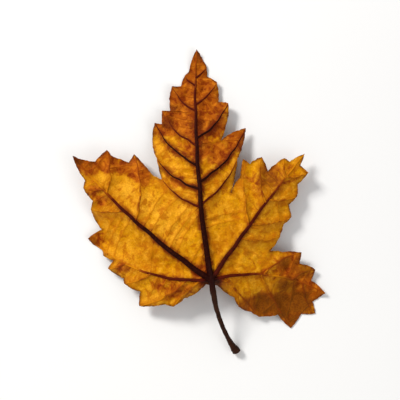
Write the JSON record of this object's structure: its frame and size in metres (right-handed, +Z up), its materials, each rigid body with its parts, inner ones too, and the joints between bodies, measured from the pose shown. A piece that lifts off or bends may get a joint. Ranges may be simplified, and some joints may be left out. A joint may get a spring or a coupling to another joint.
{
  "type": "maple leaf",
  "caption": "Picked autumn maple leaf lying ribbed side up: a toothed, pointed-lobed blade, dished and waved, with raised veins and a curved stalk.",
  "frame": {"origin": "under the middle of the leaf's box, on the surface that it lies on", "axes": "+Y from the stalk towards the tip of the middle lobe, +Z up out of the ribbed side"},
  "size_m": [0.1202, 0.1472, 0.0205],
  "materials": {
    "leaf": "matte"
  },
  "bodies": {
    "root": {"maple_leaf": "leaf"}
  },
  "joints": []
}
